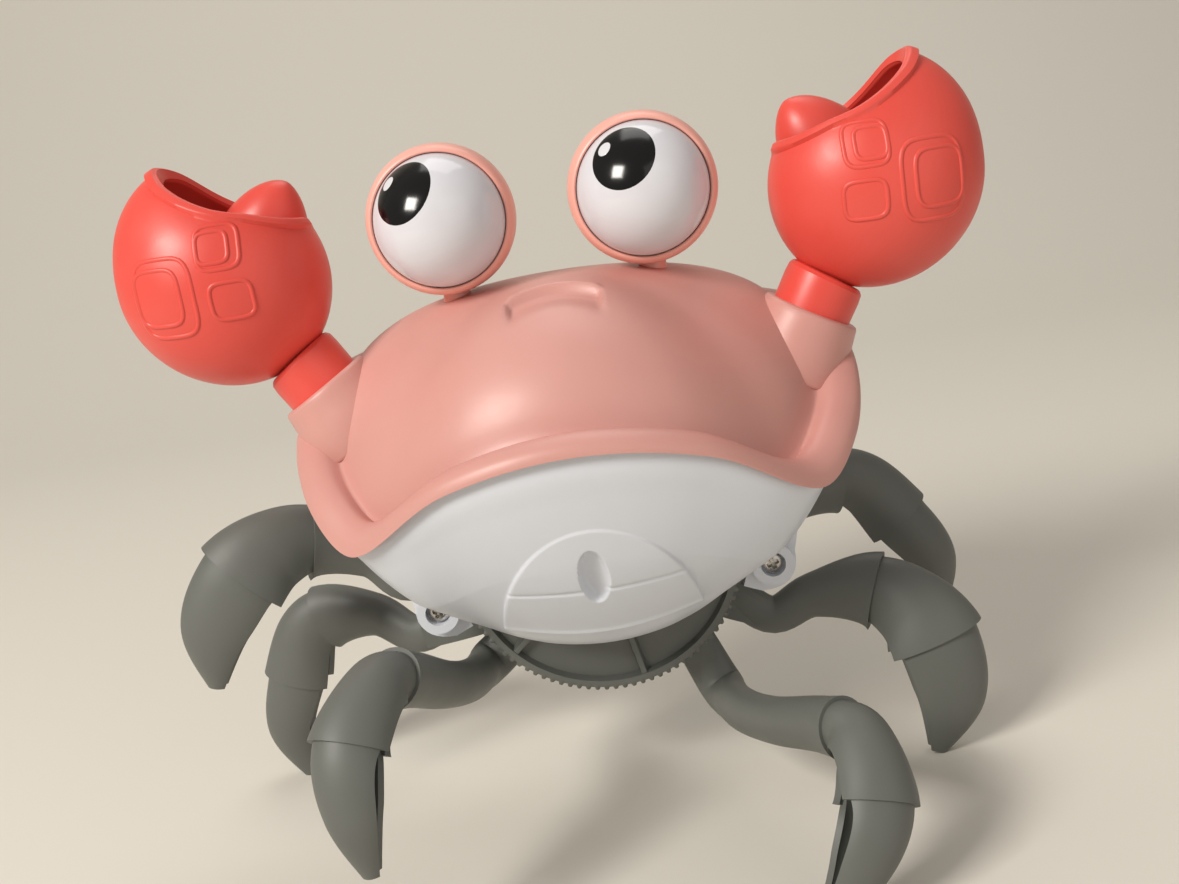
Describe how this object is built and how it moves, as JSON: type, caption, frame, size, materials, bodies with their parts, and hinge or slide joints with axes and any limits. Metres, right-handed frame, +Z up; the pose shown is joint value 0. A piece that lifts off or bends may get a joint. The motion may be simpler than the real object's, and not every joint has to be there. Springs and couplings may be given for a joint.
{
  "type": "walking toy crab",
  "caption": "Motorised toy crab: domed shell over a milky belly, stalked eyes, turning ball claws, and rigid leg pairs stepped by a ribbed crank gear with eccentrics.",
  "frame": {"origin": "centre of the outline on the floor, under the crab standing on its leg tips", "axes": "+X towards the viewer's right when facing the crab, -Y out of its face, +Z up"},
  "size_m": [0.1674, 0.093, 0.1376],
  "materials": {
    "pink_shell": "satin",
    "eye_ring": "satin",
    "coral_plastic": "satin",
    "milky_plastic": "semi-gloss",
    "eye_white": "gloss",
    "grey_plastic": "matte",
    "steel": "bright",
    "board_green": "satin",
    "black_plastic": "satin",
    "cell_sleeve": "satin"
  },
  "bodies": {
    "body": {"carapace": "pink_shell", "belly": "milky_plastic", "back_shell": "milky_plastic", "chassis": "milky_plastic", "screw_left": "steel", "screw_right": "steel", "motor": "steel", "battery": "cell_sleeve", "circuit_board": "board_green", "speaker": "black_plastic", "collar_left": "coral_plastic", "collar_right": "coral_plastic", "eye_cup_left": "eye_ring", "eye_cup_right": "eye_ring", "eyeball_left": "eye_white", "eyeball_right": "eye_white"},
    "crank": {"crank_gear": "grey_plastic", "axle": "steel", "eccentric_front": "grey_plastic", "eccentric_middle": "grey_plastic", "eccentric_rear": "grey_plastic"},
    "front_legs": {"hub_front": "grey_plastic", "leg_front_left": "grey_plastic", "leg_front_right": "grey_plastic"},
    "middle_legs": {"hub_middle": "grey_plastic", "leg_middle_left": "grey_plastic", "leg_middle_right": "grey_plastic"},
    "rear_legs": {"hub_rear": "grey_plastic", "leg_rear_left": "grey_plastic", "leg_rear_right": "grey_plastic"},
    "pinion": {"motor_pinion": "eye_white", "motor_shaft": "steel"},
    "left_claw": {"claw_left": "coral_plastic"},
    "right_claw": {"claw_right": "coral_plastic"},
    "switch": {"switch_slider": "black_plastic"}
  },
  "joints": [
    {"name": "crank_spin", "type": "hinge", "parent": "body", "child": "crank", "pos_m": [0.00123, 0.01005, 0.053], "axis": [0, 1, 0], "continuous": true},
    {"name": "front_legs_step", "type": "hinge", "parent": "crank", "child": "front_legs", "pos_m": [0.00723, 0.01525, 0.0566], "axis": [0, 1, 0], "continuous": true},
    {"name": "middle_legs_step", "type": "hinge", "parent": "crank", "child": "middle_legs", "pos_m": [0.00245, 0.02025, 0.05989], "axis": [0, 1, 0], "continuous": true},
    {"name": "rear_legs_step", "type": "hinge", "parent": "crank", "child": "rear_legs", "pos_m": [-0.00577, 0.02525, 0.053], "axis": [0, 1, 0], "continuous": true},
    {"name": "pinion_spin", "type": "hinge", "parent": "body", "child": "pinion", "pos_m": [0.01985, 0.01005, 0.07959], "axis": [0, 1, 0], "continuous": true},
    {"name": "left_claw_turn", "type": "hinge", "parent": "body", "child": "left_claw", "pos_m": [-0.04527, 0.00955, 0.094], "axis": [-0.5, 0, 0.866], "range_deg": [-40, 40]},
    {"name": "right_claw_turn", "type": "hinge", "parent": "body", "child": "right_claw", "pos_m": [0.04773, 0.00955, 0.094], "axis": [0.5, 0, 0.866], "range_deg": [-40, 40]},
    {"name": "switch_slide", "type": "slide", "parent": "body", "child": "switch", "axis": [1, 0, 0], "range_m": [0, 0.006]}
  ],
  "couplings": [
    {"joint": "front_legs_step", "follows": "crank_spin", "ratio": -1},
    {"joint": "middle_legs_step", "follows": "crank_spin", "ratio": -1},
    {"joint": "rear_legs_step", "follows": "crank_spin", "ratio": -1},
    {"joint": "pinion_spin", "follows": "crank_spin", "ratio": -6.7143}
  ]
}
